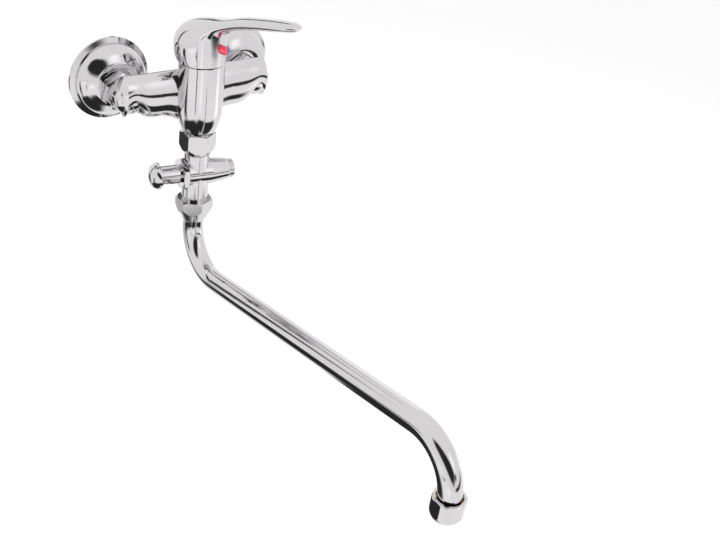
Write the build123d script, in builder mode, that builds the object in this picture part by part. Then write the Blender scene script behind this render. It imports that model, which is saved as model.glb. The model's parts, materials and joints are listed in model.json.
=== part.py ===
from build123d import *
import os
from math import cos, radians, sin

# Wall mixer tap: a single-lever body on two eccentric unions, a pull diverter
# with a shower outlet under it, and a long swivel spout with an aerator.
# Millimetres. The wall is the plane y = 0 and the tap stands out along -Y.
# The origin lies on the wall, midway between the two wall threads. Heights
# below are counted from the inlet axis, which lies union_rise lower.

os.makedirs("parts", exist_ok=True)

# Driving dimensions: wall side
inlet_spacing = 150.0      # between the two inlet axes
wall_gap = 60.0            # wall to the vertical axis of the body
union_rise = 8.4           # throw of the eccentric: wall thread above inlet
wall_thread_r = 10.48      # G1/2 outside thread
wall_thread_length = 15.0
union_thread_r = 13.16     # G3/4 outside thread
water_way_r = 7.5
hub_r = 17.8
hub_setback = 1.0          # hub face behind the front of the rosette
hub_start = 1.0            # hub shoulder clear of the wall

rosette_r = 44.2
rosette_depth = 21.6
rosette_rim = 2.4          # straight edge of the rim
rosette_band = 5.4         # width of the sloped band inside the rim
rosette_step = 3.6         # depth where the dome starts
rosette_wall = 1.2

# Driving dimensions: clearances
thread_clearance = 0.06    # radial, between an outside and an inside thread
seat_clearance = 0.03      # radial, between round parts fixed in each other
running_clearance = 0.1    # radial, on guides that turn or slide
slide_gap = 0.3            # between other faces of parts that move
hub_clearance = 0.3

# Driving dimensions: body casting
body_r = 24.6
body_top = 35.3
body_shoulder = -12.0      # where the straight wall starts to taper
body_bottom = -41.5
body_bottom_r = 18.8
bottom_edge = 1.2
top_edge = 0.8
cartridge_bore_r = 20.1
cartridge_floor = -6.0
arm_axis_y = 11.4          # arms run this far behind the body's axis
arm_depth = 13.0           # half depth of an arm
arm_top = 24.2
arm_overhang = 13.6        # end of an arm beyond the inlet axis
arm_cap = 5.5              # length of the domed end of an arm
arm_end_low = -18.7        # underside of an arm at its end
arm_end_taper = 0.6        # loss of half depth at the end
arm_slope_x = 60.0         # stations nearer in, from the middle of the body
arm_slope_low = -22.0
arm_waist_x = 42.0
arm_waist_low = -24.8
arm_neck_x = 30.0
arm_neck_low = -27.4
arm_root_x = 21.0
arm_root_low = -32.0
arm_centre_low = -36.0
arm_core_overhang = 1.0    # water space in an arm, beyond the inlet axis
casting_wall = 3.6
boss_r = 17.25
boss_face = 26.4           # boss face nearer to the wall than the body axis
boss_dome = 12.0
boss_edge = 0.6
boss_bore_past = 6.0       # inlet bore, beyond the middle of the arm
gallery_r = 5.5            # passage from an arm to the cartridge
gallery_drop = 9.0         # under the cartridge floor
outlet_port_y = -9.0       # ports in the cartridge floor
outlet_port_r = 4.5
inlet_port_x = 12.0
inlet_port_y = 4.0
inlet_port_r = 4.0

# Driving dimensions: union nuts and tails at the inlets
inlet_nut_flats = 36.0
inlet_nut_length = 11.2
inlet_nut_wall = 2.5
nut_gap = 0.4
tail_r = 10.2
tail_thread_r = 9.8
tail_thread_length = 11.0
tail_flange_r = 12.6
tail_flange = 2.5
washer = 2.0

# Driving dimensions: cartridge
cartridge_r = 19.8
cartridge_inner_r = 17.6
cartridge_top = 27.5
cartridge_nut_height = 7.0
cartridge_gasket_r = 17.5
gasket_height = 1.6
gasket_nip = 0.4           # gasket stands this much out of its recess
turner_r = 13.5
turner_flange_r = 15.6
turner_top = 36.0
pivot_z = 28.0
pivot_pin_r = 1.5
ball_drop = 10.5           # centre of the stem's ball below the pivot
stem_size = 8.0
stem_top = 64.0
disc_r = 13.0
disc_thickness = 4.5
cap_r = 23.2               # spherical cap round the pivot
cap_wall = 1.6
cap_top = 44.0

# Driving dimensions: handle
lever_angle = 20.0         # lever turned from straight out, towards +X
handle_gap = 0.9           # seam between body and handle
handle_r = 26.6
hood_height = 70.0         # top of the blade over the seam
front_wall_r = 26.2        # recessed front wall under the arch
front_wall_shift = 1.6     # centre of that wall behind the body's axis
arch_half_width = 23.6
arch_spring = 59.0         # where the sides of the arch start to curve in
arch_top = 71.5
cavity_r = 24.0            # inside of the front half, round the pivot
rear_cavity_r = 26.0       # inside of the rear half, clears the body on lift
blade_reach = 115.0
blade_half_width = 16.4
index_z = 54.7
index_r = 4.6
index_front = 31.4
index_seat = 21.0          # bottom of the index socket
grub_screw_r = 2.5
grub_screw_length = 10.0

# Driving dimensions: outlet, diverter and its nuts
outlet_thread_length = 16.0
outlet_bore_r = 9.0
outlet_bore_depth = 28.0
port_overlap = 2.5         # outlet port runs this far into the outlet bore
gasket = 2.0
nut_flats = 34.0
nut_setback = 2.7          # nut below the casting
nut_hex = 15.4
nut_length = 23.7
nut_tip_r = 15.2
neck_r = 10.5
ring_depth = 2.0           # groove for the split ring below the neck's face
ring_r = 12.6
ring_groove_r = 9.7
ring_thickness = 2.2
barrel_r = 13.9
cross_drop = 33.5          # cross axis below the top of the neck
diverter_turn = -9.0       # shower outlet turned away from the wall
diverter_drop = 40.0       # lower end of the diverter below its cross axis
lower_neck_r = 14.6
lower_thread_length = 12.5
cross_r = 14.6
shower_cone_start = 15.0
shower_cone_end = 35.0
shower_tip_r = 11.7
shower_end = 42.5
shower_way_r = 6.8
cross_bore_r = 9.0
cross_bore_end = 24.0
cross_face = 12.4
gland_thread_r = 11.0
gland_thread_length = 7.0
gland_flats = 31.5
gland_hex = 6.6
gland_collar = 1.2
gland_collar_r = 9.6
knob_gap = 0.4
knob_sleeve_r = 10.4
knob_rim_r = 14.8
knob_rim_start = 41.8
knob_rim = 1.8
knob_end = 53.6
spindle_r = 4.0
valve_disc_r = 8.2
valve_washer = 2.2
valve_gap = 0.3
stem_seal_r = 1.2

# Driving dimensions: spout
spout_nut_flats = 36.0
spout_nut_setback = 3.7    # nut below the shoulder of the diverter
spout_nut_hex = 9.2
spout_nut_length = 25.4
spout_nut_tip_r = 13.2
spout_nut_turn = -6.0
spout_seal = 1.6
spout_collar = 4.4
tube_r = 11.5
tube_wall = 1.3
tube_drop = 22.2           # straight tube above its first bend
first_bend_r = 48.2
bend_angle = 98.0
run_length = 342.0
second_bend_r = 49.4
spout_tail = 10.0
ferrule_r = 13.0           # threaded ring brazed to the tube's end
ferrule_length = 9.6
aerator_flats = 31.0
aerator_r = 16.3
aerator_overlap = 14.55296  # top of the aerator nut above the tube's end
aerator_length = 24.6
aerator_curve = 10.0       # its wall curves in over this height
aerator_tip_r = 10.4
aerator_mouth_r = 9.2
aerator_lip = 1.4
aerator_mesh = 0.6
aerator_gasket = 1.4

# Derived places and working planes
axis_y = -wall_gap
inlet_z = -union_rise
half_spacing = inlet_spacing / 2
hub_z = inlet_z + union_rise / 2
arm_end = half_spacing + arm_overhang
arm_core_end = half_spacing + arm_core_overhang
outlet_face = body_bottom - outlet_thread_length
nut_thread_r = union_thread_r + thread_clearance
profile_plane = Plane(origin=(0, axis_y, inlet_z), x_dir=(1, 0, 0), z_dir=(0, -1, 0))
body_axis = Axis((0, axis_y, 0), (0, 0, 1))
boss_y = axis_y + boss_face
nut_front_y = boss_y + nut_gap
flange_front_y = nut_front_y + inlet_nut_wall
washer_front_y = flange_front_y + tail_flange
union_face_y = washer_front_y + washer
hub_face_y = -rosette_depth + hub_setback


def level(z):
    """Horizontal plane at height z over the inlet axis, on the body's axis."""
    return Plane(origin=(0, axis_y, inlet_z + z))


def facing_wall(x, y, z):
    """Plane whose normal points at the wall."""
    return Plane(origin=(x, y, z), x_dir=(-1, 0, 0), z_dir=(0, 1, 0))


def save(piece, name):
    piece.part.label = name
    export_step(piece.part, f"parts/{name}.step")


# Inlets: rosette, eccentric union, washer, union tail and nut on each side
for side, name in ((-1, "left"), (1, "right")):
    inlet_x = side * half_spacing
    hole_r = hub_r + hub_clearance
    dome_r = rosette_r - rosette_band
    dome = rosette_depth - rosette_step
    inner_dome_r = dome_r - rosette_wall
    inner_dome = dome - rosette_wall

    rosette_profile = Plane(origin=(inlet_x, 0, hub_z), x_dir=(1, 0, 0), z_dir=(0, 0, 1))
    rosette_axis = Axis((inlet_x, 0, hub_z), (0, 1, 0))
    with BuildPart() as rosette:
        with BuildSketch(rosette_profile):
            with BuildLine():
                Polyline(
                    (0, 0),
                    (rosette_r, 0),
                    (rosette_r, -rosette_rim),
                    (dome_r, -rosette_step),
                )
                Spline(
                    (dome_r, -rosette_step),
                    (dome_r * 0.955, -rosette_step - dome * 0.45),
                    (dome_r * 0.84, -rosette_step - dome * 0.73),
                    (dome_r * 0.68, -rosette_step - dome * 0.9),
                    (hole_r, -rosette_depth),
                    tangents=((0, -1), (-1, -0.08)),
                )
                Polyline((hole_r, -rosette_depth), (0, -rosette_depth), (0, 0))
            make_face()
        revolve(axis=rosette_axis)
        with BuildSketch(rosette_profile):
            with BuildLine():
                Polyline(
                    (0, 0),
                    (rosette_r - rosette_wall, 0),
                    (rosette_r - rosette_wall, -rosette_rim + rosette_wall / 2),
                    (inner_dome_r, -rosette_step + rosette_wall / 2),
                )
                Spline(
                    (inner_dome_r, -rosette_step + rosette_wall / 2),
                    (inner_dome_r * 0.955, -rosette_step - inner_dome * 0.45),
                    (inner_dome_r * 0.84, -rosette_step - inner_dome * 0.73),
                    (inner_dome_r * 0.68, -rosette_step - inner_dome * 0.9),
                    (hole_r, -rosette_depth + rosette_wall),
                    tangents=((0, -1), (-1, -0.08)),
                )
                Polyline(
                    (hole_r, -rosette_depth + rosette_wall),
                    (0, -rosette_depth + rosette_wall),
                    (0, 0),
                )
            make_face()
        revolve(axis=rosette_axis, mode=Mode.SUBTRACT)
        with BuildSketch(facing_wall(inlet_x, -rosette_depth - 1, hub_z)):
            Circle(hole_r)
        extrude(amount=rosette_depth, mode=Mode.SUBTRACT)
    save(rosette, f"{name}_rosette")

    with BuildPart() as eccentric:
        with BuildSketch(facing_wall(inlet_x, hub_face_y, hub_z)):
            Circle(hub_r)
        extrude(amount=-hub_face_y - hub_start)
        with BuildSketch(facing_wall(inlet_x, -hub_start, 0)):
            Circle(wall_thread_r)
        extrude(amount=wall_thread_length + hub_start)
        with BuildSketch(facing_wall(inlet_x, hub_face_y, inlet_z)):
            Circle(union_thread_r)
        extrude(amount=union_face_y - hub_face_y)
        chamfer(eccentric.faces().sort_by(Axis.Y)[-1].edges(), 1.0)
        chamfer(eccentric.faces().sort_by(Axis.Y)[0].edges(), 0.8)
        with BuildSketch(facing_wall(inlet_x, union_face_y, inlet_z)):
            Circle(water_way_r)
        extrude(amount=-union_face_y - 8, mode=Mode.SUBTRACT)
        with BuildSketch(facing_wall(inlet_x, wall_thread_length, 0)):
            Circle(water_way_r)
        extrude(amount=-wall_thread_length - 14, mode=Mode.SUBTRACT)
    save(eccentric, f"{name}_eccentric")

    with BuildPart() as inlet_washer:
        with BuildSketch(facing_wall(inlet_x, washer_front_y, inlet_z)):
            Circle(tail_flange_r)
            Circle(water_way_r + 0.5, mode=Mode.SUBTRACT)
        extrude(amount=washer)
    save(inlet_washer, f"{name}_inlet_washer")

    with BuildPart() as union_tail:
        with BuildSketch(facing_wall(inlet_x, boss_y, inlet_z)):
            Circle(tail_r)
        extrude(amount=flange_front_y - boss_y)
        with BuildSketch(facing_wall(inlet_x, flange_front_y, inlet_z)):
            Circle(tail_flange_r)
        extrude(amount=tail_flange)
        with BuildSketch(facing_wall(inlet_x, boss_y, inlet_z)):
            Circle(tail_thread_r)
        extrude(amount=-tail_thread_length)
        with BuildSketch(facing_wall(inlet_x, boss_y - tail_thread_length, inlet_z)):
            Circle(water_way_r)
        extrude(amount=washer_front_y - boss_y + tail_thread_length, mode=Mode.SUBTRACT)
    save(union_tail, f"{name}_union_tail")

    nut_back_y = nut_front_y + inlet_nut_length
    corner_r = inlet_nut_flats / 2 / cos(radians(30))
    with BuildPart() as union_nut:
        with BuildSketch(facing_wall(inlet_x, nut_front_y, inlet_z)):
            RegularPolygon(inlet_nut_flats / 2, 6, major_radius=False, rotation=30)
        extrude(amount=inlet_nut_length)
        with BuildSketch(Plane(origin=(inlet_x, 0, inlet_z), x_dir=(1, 0, 0), z_dir=(0, 0, 1))):
            with BuildLine():
                Polyline(
                    (0, nut_front_y),
                    (corner_r - 2.4, nut_front_y),
                    (corner_r, nut_front_y + 1.4),
                    (corner_r, nut_back_y - 1.4),
                    (corner_r - 2.4, nut_back_y),
                    (0, nut_back_y),
                    close=True,
                )
            make_face()
        revolve(axis=Axis((inlet_x, 0, inlet_z), (0, 1, 0)), mode=Mode.INTERSECT)
        with BuildSketch(facing_wall(inlet_x, nut_front_y, inlet_z)):
            Circle(tail_r + slide_gap)
        extrude(amount=inlet_nut_length, mode=Mode.SUBTRACT)
        with BuildSketch(facing_wall(inlet_x, flange_front_y, inlet_z)):
            Circle(nut_thread_r)
        extrude(amount=inlet_nut_length, mode=Mode.SUBTRACT)
    save(union_nut, f"{name}_union_nut")


# Body casting: housing, one loft that forms both arms, bosses, water ways
arm_end_depth = arm_depth - arm_end_taper
arm_sections = (
    (arm_end - arm_cap, arm_end_low, arm_end_depth),
    (arm_slope_x, arm_slope_low, arm_depth - arm_end_taper / 3),
    (arm_waist_x, arm_waist_low, arm_depth),
    (arm_neck_x, arm_neck_low, arm_depth),
    (arm_root_x, arm_root_low, arm_depth),
    (0.0, arm_centre_low, arm_depth),
)
arm_stations = [(-x, low, depth) for x, low, depth in arm_sections]
arm_stations += [(x, low, depth) for x, low, depth in reversed(arm_sections[:-1])]
cap_scales = (1.0, 0.9, 0.75, 0.5, 0.25, 0.08)


def arm_plane(x, low):
    """Plane across an arm, centred on the oval section there."""
    return Plane(
        origin=(x, axis_y + arm_axis_y, inlet_z + (arm_top + low) / 2),
        x_dir=(0, 1, 0),
        z_dir=(1, 0, 0),
    )


with BuildPart() as mixer_body:
    for x, low, depth in arm_stations:
        with BuildSketch(arm_plane(x, low)):
            Ellipse(depth, (arm_top - low) / 2)
    loft()
    for side in (-1, 1):
        for scale in cap_scales:
            cap_x = side * (arm_end - arm_cap * scale**2)
            with BuildSketch(arm_plane(cap_x, arm_end_low)):
                Ellipse(arm_end_depth * scale, (arm_top - arm_end_low) / 2 * scale)
        loft()
    with BuildSketch(profile_plane):
        with BuildLine():
            Polyline(
                (0, body_top),
                (body_r - top_edge, body_top),
                (body_r, body_top - top_edge),
                (body_r, body_shoulder),
            )
            TangentArc(
                (body_r, body_shoulder),
                (body_bottom_r, body_bottom + bottom_edge),
                tangent=(0, -1),
            )
            Polyline(
                (body_bottom_r, body_bottom + bottom_edge),
                (body_bottom_r - bottom_edge, body_bottom),
                (0, body_bottom),
                (0, body_top),
            )
        make_face()
    revolve(axis=body_axis)
    for side in (-1, 1):
        boss_plane = Plane(
            origin=(side * half_spacing, 0, inlet_z), x_dir=(1, 0, 0), z_dir=(0, 0, 1)
        )
        with BuildSketch(boss_plane):
            with BuildLine():
                Polyline(
                    (0, axis_y),
                    (0, boss_y),
                    (boss_r - boss_edge, boss_y),
                    (boss_r, boss_y - boss_edge),
                    (boss_r, axis_y + boss_dome),
                )
                EllipticalCenterArc(
                    center=(0, axis_y + boss_dome),
                    x_radius=boss_r,
                    y_radius=boss_dome,
                    start_angle=270,
                    arc_size=90,
                )
            make_face()
        revolve(axis=Axis((side * half_spacing, 0, inlet_z), (0, 1, 0)))
    with BuildSketch(level(body_bottom)):
        Circle(union_thread_r)
    extrude(amount=-outlet_thread_length)
    with BuildSketch(level(body_top)):
        Circle(cartridge_bore_r)
    extrude(amount=cartridge_floor - body_top, mode=Mode.SUBTRACT)
    with BuildSketch(level(outlet_face)):
        Circle(outlet_bore_r)
    extrude(amount=outlet_bore_depth, mode=Mode.SUBTRACT)
    with BuildSketch(level(cartridge_floor)):
        with Locations((0, outlet_port_y)):
            Circle(outlet_port_r)
    outlet_port_drop = cartridge_floor - outlet_face - outlet_bore_depth + port_overlap
    extrude(amount=-outlet_port_drop, mode=Mode.SUBTRACT)
    for side in (-1, 1):
        for x, low, depth in arm_sections[:4]:
            core_x = side * min(x, arm_core_end)
            with BuildSketch(arm_plane(core_x, low)):
                Ellipse(depth - casting_wall, (arm_top - low) / 2 - casting_wall)
        loft(mode=Mode.SUBTRACT)
    for side in (-1, 1):
        gallery_start = Vector(side * half_spacing, axis_y + arm_axis_y, inlet_z)
        gallery_end = Vector(
            side * inlet_port_x, axis_y + inlet_port_y, inlet_z + cartridge_floor - gallery_drop
        )
        gallery = gallery_end - gallery_start
        with BuildSketch(Plane(origin=gallery_start, z_dir=gallery)):
            Circle(gallery_r)
        extrude(amount=gallery.length, mode=Mode.SUBTRACT)
        with BuildSketch(level(cartridge_floor)):
            with Locations((side * inlet_port_x, inlet_port_y)):
                Circle(inlet_port_r)
        extrude(amount=-gallery_drop, mode=Mode.SUBTRACT)
        with BuildSketch(facing_wall(side * half_spacing, boss_y, inlet_z)):
            Circle(tail_thread_r + thread_clearance)
        extrude(amount=-boss_face + arm_axis_y - boss_bore_past, mode=Mode.SUBTRACT)
save(mixer_body, "mixer_body")


# Cartridge: base and gasket, ceramic discs, carrier, housing, turner and stem
port_places = (
    (0, outlet_port_y, outlet_port_r),
    (-inlet_port_x, inlet_port_y, inlet_port_r),
    (inlet_port_x, inlet_port_y, inlet_port_r),
)
base_bottom = cartridge_floor + gasket_nip
base_top = 3.0
carrier_bottom = base_top + 2 * disc_thickness
carrier_top = pivot_z - ball_drop + 1.0
turner_bottom = carrier_top + 0.5
plate_bottom = turner_bottom + 1.8
guide_r = turner_r + running_clearance
sleeve_r = guide_r + 1.8
lever_dir = Vector(sin(radians(lever_angle)), -cos(radians(lever_angle)), 0)
lever_side = Vector(cos(radians(lever_angle)), sin(radians(lever_angle)), 0)


def lever_level(z):
    """Horizontal plane at height z, with its x along the lever."""
    return Plane(origin=(0, axis_y, inlet_z + z), x_dir=lever_dir, z_dir=(0, 0, 1))


with BuildPart() as cartridge_gasket:
    with BuildSketch(level(cartridge_floor)):
        Circle(cartridge_gasket_r)
        for port_x, port_y, port_r in port_places:
            with Locations((port_x, port_y)):
                Circle(port_r, mode=Mode.SUBTRACT)
    extrude(amount=gasket_height)
save(cartridge_gasket, "cartridge_gasket")

with BuildPart() as cartridge_base:
    with BuildSketch(level(base_bottom)):
        Circle(cartridge_r)
    extrude(amount=base_top - base_bottom)
    with BuildSketch(level(base_bottom)):
        Circle(cartridge_gasket_r + 0.2)
    extrude(amount=cartridge_floor + gasket_height - base_bottom, mode=Mode.SUBTRACT)
    with BuildSketch(level(base_bottom)):
        for port_x, port_y, port_r in port_places:
            with Locations((port_x, port_y)):
                Circle(port_r)
    extrude(amount=base_top - base_bottom, mode=Mode.SUBTRACT)
save(cartridge_base, "cartridge_base")

with BuildPart() as fixed_disc:
    with BuildSketch(level(base_top)):
        Circle(cartridge_inner_r - 0.2)
        for port_x, port_y, port_r in port_places:
            with Locations((port_x, port_y)):
                Circle(port_r - 0.5, mode=Mode.SUBTRACT)
    extrude(amount=disc_thickness)
save(fixed_disc, "fixed_disc")

with BuildPart() as moving_disc:
    with BuildSketch(lever_level(base_top + disc_thickness)):
        Circle(disc_r)
    extrude(amount=disc_thickness)
    with BuildSketch(lever_level(base_top + disc_thickness)):
        Ellipse(8.5, 6.5)
    extrude(amount=disc_thickness - 2, mode=Mode.SUBTRACT)
save(moving_disc, "moving_disc")

with BuildPart() as disc_carrier:
    with BuildSketch(lever_level(carrier_bottom)):
        Circle(disc_r)
    extrude(amount=carrier_top - carrier_bottom)
    with BuildSketch(lever_level(carrier_bottom + 1.0)):
        Circle(stem_size / 2 + 0.5)
    extrude(amount=carrier_top, mode=Mode.SUBTRACT)
save(disc_carrier, "disc_carrier")

with BuildPart() as cartridge_housing:
    with BuildSketch(level(base_top)):
        Circle(cartridge_r)
        Circle(cartridge_inner_r, mode=Mode.SUBTRACT)
    extrude(amount=cartridge_top - base_top)
    with BuildSketch(level(plate_bottom)):
        Circle(cartridge_r)
        Circle(guide_r, mode=Mode.SUBTRACT)
    extrude(amount=cartridge_top - plate_bottom)
    with BuildSketch(level(cartridge_top)):
        Circle(sleeve_r)
        Circle(guide_r, mode=Mode.SUBTRACT)
    extrude(amount=turner_top - cartridge_top - 2.5)
save(cartridge_housing, "cartridge_housing")

pin_plane = Plane(
    origin=Vector(0, axis_y, inlet_z + pivot_z) - lever_side * turner_r,
    x_dir=(0, 0, 1),
    z_dir=lever_side,
)
with BuildPart() as cartridge_turner:
    with BuildSketch(lever_level(turner_bottom)):
        Circle(turner_r)
    extrude(amount=turner_top - turner_bottom)
    with BuildSketch(lever_level(turner_bottom)):
        Circle(turner_flange_r)
    extrude(amount=plate_bottom - turner_bottom - running_clearance)
    with BuildSketch(lever_level(turner_bottom)):
        Rectangle(turner_r * 2 - 6, stem_size + 2 * slide_gap)
    extrude(amount=turner_top - turner_bottom, mode=Mode.SUBTRACT)
    with BuildSketch(pin_plane):
        Circle(pivot_pin_r + seat_clearance)
    extrude(amount=turner_r * 2, mode=Mode.SUBTRACT)
save(cartridge_turner, "cartridge_turner")

with BuildPart() as lever_pin:
    with BuildSketch(pin_plane.offset(1.2)):
        Circle(pivot_pin_r)
    extrude(amount=turner_r * 2 - 2.4)
save(lever_pin, "lever_pin")

with BuildPart() as lever_stem:
    with BuildSketch(lever_level(pivot_z - 5.5)):
        Rectangle(stem_size, stem_size)
    extrude(amount=stem_top - pivot_z + 5.5)
    chamfer(lever_stem.edges().group_by(Axis.Z)[-1], 1.0)
    with BuildSketch(lever_level(pivot_z - ball_drop)):
        Circle(stem_size / 2 - 0.9)
    extrude(amount=ball_drop)
    with Locations((0, axis_y, inlet_z + pivot_z - ball_drop)):
        Sphere(stem_size / 2)
    with BuildSketch(pin_plane):
        Circle(pivot_pin_r + running_clearance)
    extrude(amount=turner_r * 2, mode=Mode.SUBTRACT)
save(lever_stem, "lever_stem")

with BuildPart() as cartridge_nut:
    with BuildSketch(level(cartridge_top)):
        Circle(cartridge_bore_r - thread_clearance)
        Circle(sleeve_r + 0.4, mode=Mode.SUBTRACT)
    extrude(amount=cartridge_nut_height)
    chamfer(cartridge_nut.edges().group_by(Axis.Z)[-1], 0.6)
    with BuildSketch(level(cartridge_top + cartridge_nut_height - 3)):
        with PolarLocations(cartridge_bore_r, 6):
            Rectangle(4, 5)
    extrude(amount=3, mode=Mode.SUBTRACT)
save(cartridge_nut, "cartridge_nut")

with BuildPart() as cartridge_cap:
    with Locations((0, axis_y, inlet_z + pivot_z)):
        Sphere(cap_r)
        Sphere(cap_r - cap_wall, mode=Mode.SUBTRACT)
    with BuildSketch(level(body_top)):
        Rectangle(4 * cap_r, 4 * cap_r)
    extrude(amount=-4 * cap_r, mode=Mode.SUBTRACT)
    with BuildSketch(level(cap_top)):
        Rectangle(4 * cap_r, 4 * cap_r)
    extrude(amount=4 * cap_r, mode=Mode.SUBTRACT)
    with BuildSketch(level(cartridge_top + cartridge_nut_height)):
        Circle(cartridge_bore_r - thread_clearance)
        Circle(cartridge_bore_r - 1.6, mode=Mode.SUBTRACT)
    extrude(amount=3.2)
save(cartridge_cap, "cartridge_cap")


# Handle: a hood that rises from a round skirt and runs out into the blade
seam_z = body_top + handle_gap
hood_scale = hood_height / 70.0
blade_scale = blade_reach / 115.0
width_scale = blade_half_width / 16.4

# Ovals of the hood over the skirt, for a hood 70 high: front point outside the
# skirt and its height, back point likewise, and how much wider than the skirt
skirt_ovals = (
    (0.0, 0.0, 0.0, 0.0, 0.0),
    (-0.6, 6.3, -3.6, 7.8, 1.0),
    (-1.1, 12.3, -4.6, 16.8, 1.2),
    (-1.3, 17.8, -1.8, 26.8, 0.6),
    (-1.3, 22.3, 5.0, 35.5, -1.0),
    (-1.1, 26.6, 15.5, 41.5, -3.2),
    (-0.2, 31.2, 30.0, 45.6, -6.0),
    (2.6, 36.4, 43.0, 48.3, -8.4),
)

# Ovals of the blade, for a reach of 115: front point and its height, back point
# and its height, and half width
blade_ovals = (
    (36.0, 41.6, 29.5, 52.0, 16.4),
    (46.0, 45.8, 42.0, 56.6, 15.2),
    (62.0, 50.8, 60.0, 61.6, 14.2),
    (82.0, 55.4, 81.0, 66.2, 13.4),
    (100.0, 59.4, 100.0, 69.4, 12.4),
    (110.5, 62.0, 110.5, 70.0, 9.4),
    (114.2, 64.6, 115.0, 68.2, 4.6),
)
hood_outline = [
    (
        (handle_r + front * hood_scale, front_rise * hood_scale),
        (-handle_r + back * hood_scale, back_rise * hood_scale),
        handle_r + wider * hood_scale,
    )
    for front, front_rise, back, back_rise, wider in skirt_ovals
]
hood_outline += [
    (
        (front * blade_scale, front_rise * hood_scale),
        (back * blade_scale, back_rise * hood_scale),
        half_width * width_scale,
    )
    for front, front_rise, back, back_rise, half_width in blade_ovals
]


def lever_front(reach):
    """Upright plane square to the lever, with its y upwards."""
    origin = Vector(0, axis_y, inlet_z) + lever_dir * reach
    return Plane(origin=origin, x_dir=lever_side, z_dir=lever_dir)


with BuildPart() as arch_recess:
    with BuildSketch(lever_front(0)):
        with Locations((0, (arch_spring + body_top) / 2)):
            Rectangle(2 * arch_half_width, arch_spring - body_top)
        with Locations((0, arch_spring)):
            Ellipse(arch_half_width, arch_top - arch_spring)
    extrude(amount=1.8 * handle_r)
    with BuildSketch(level(body_top - handle_r)):
        with Locations(Vector(0, 0, 0) - lever_dir * front_wall_shift):
            Circle(front_wall_r)
    extrude(amount=4 * handle_r, mode=Mode.SUBTRACT)

with BuildPart() as rear_cavity:
    with Locations((0, axis_y, inlet_z + pivot_z)):
        Sphere(rear_cavity_r)
    split(bisect_by=lever_front(2), keep=Keep.BOTTOM)

with BuildPart() as handle:
    for front, back, half_width in hood_outline:
        front_point = Vector(0, axis_y, inlet_z + seam_z + front[1]) + lever_dir * front[0]
        back_point = Vector(0, axis_y, inlet_z + seam_z + back[1]) + lever_dir * back[0]
        across = front_point - back_point
        section_plane = Plane(
            origin=(front_point + back_point) * 0.5,
            x_dir=across,
            z_dir=across.cross(lever_side),
        )
        with BuildSketch(section_plane):
            with BuildLine():
                for start in (0, 90, 180, 270):
                    EllipticalCenterArc(
                        center=(0, 0),
                        x_radius=across.length / 2,
                        y_radius=half_width,
                        start_angle=start,
                        arc_size=90,
                    )
            make_face()
    loft()
    add(arch_recess.part, mode=Mode.SUBTRACT)
    add(rear_cavity.part, mode=Mode.SUBTRACT)
    with Locations((0, axis_y, inlet_z + pivot_z)):
        Sphere(cavity_r, mode=Mode.SUBTRACT)
    with BuildSketch(lever_level(pivot_z)):
        Rectangle(stem_size + 2 * thread_clearance, stem_size + 2 * thread_clearance)
    extrude(amount=stem_top - pivot_z + 0.5, mode=Mode.SUBTRACT)
    with BuildSketch(lever_front(0)):
        with Locations((0, index_z)):
            Circle(grub_screw_r + thread_clearance)
    extrude(amount=2 * handle_r, mode=Mode.SUBTRACT)
    with BuildSketch(lever_front(index_seat)):
        with Locations((0, index_z)):
            Circle(index_r + thread_clearance)
    extrude(amount=handle_r, mode=Mode.SUBTRACT)
save(handle, "handle")

with BuildPart() as grub_screw:
    with BuildSketch(lever_front(stem_size / 2)):
        with Locations((0, index_z)):
            Circle(grub_screw_r)
    extrude(amount=grub_screw_length)
    with BuildSketch(lever_front(stem_size / 2 + grub_screw_length)):
        with Locations((0, index_z)):
            RegularPolygon(1.25, 6, major_radius=False)
    extrude(amount=-3, mode=Mode.SUBTRACT)
save(grub_screw, "grub_screw")

for side, name in ((-1, "hot"), (1, "cold")):
    with BuildPart() as index_half:
        with BuildSketch(lever_front(index_seat)):
            with Locations((0, index_z)):
                Circle(index_r)
            with Locations((-side * index_r, index_z)):
                Rectangle(2 * index_r, 2 * index_r, mode=Mode.SUBTRACT)
        extrude(amount=index_front - index_seat)
        front_face = index_half.faces().sort_by(Axis((0, 0, 0), lever_dir))[-1]
        chamfer(front_face.edges().filter_by(GeomType.CIRCLE), 0.7)
    save(index_half, f"index_{name}")


# Outlet union: gasket, split ring and nut that hold the diverter
nut_top = body_bottom - nut_setback
neck_top = outlet_face - gasket
ring_top = neck_top - ring_depth
nut_seat = ring_top - ring_thickness
nut_bottom = nut_top - nut_length


def hex_nut(flats, top, hex_height, length, tip_r, turn):
    """Solid of a union nut: a hexagon that ends in a cone below."""
    corner = flats / 2 / cos(radians(30))
    with BuildPart() as blank:
        with BuildSketch(level(top)):
            RegularPolygon(flats / 2, 6, major_radius=False, rotation=30 + turn)
        extrude(amount=-length)
        with BuildSketch(profile_plane):
            with BuildLine():
                Polyline(
                    (0, top),
                    (corner - 2.2, top),
                    (corner, top - 1.3),
                    (corner, top - hex_height),
                    (tip_r + 0.4, top - length + 0.6),
                    (tip_r, top - length),
                    (0, top - length),
                    close=True,
                )
            make_face()
        revolve(axis=body_axis, mode=Mode.INTERSECT)
    return blank.part


nut_blank = hex_nut(nut_flats, nut_top, nut_hex, nut_length, nut_tip_r, 0)
with BuildPart() as diverter_nut:
    add(nut_blank)
    with BuildSketch(level(nut_top)):
        Circle(neck_r + slide_gap)
    extrude(amount=-nut_length, mode=Mode.SUBTRACT)
    with BuildSketch(level(nut_top)):
        Circle(nut_thread_r)
    extrude(amount=nut_seat - nut_top, mode=Mode.SUBTRACT)
save(diverter_nut, "diverter_nut")

with BuildPart() as diverter_gasket:
    with BuildSketch(level(outlet_face)):
        Circle(union_thread_r - 0.4)
        Circle(outlet_bore_r, mode=Mode.SUBTRACT)
    extrude(amount=-gasket)
save(diverter_gasket, "diverter_gasket")

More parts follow.
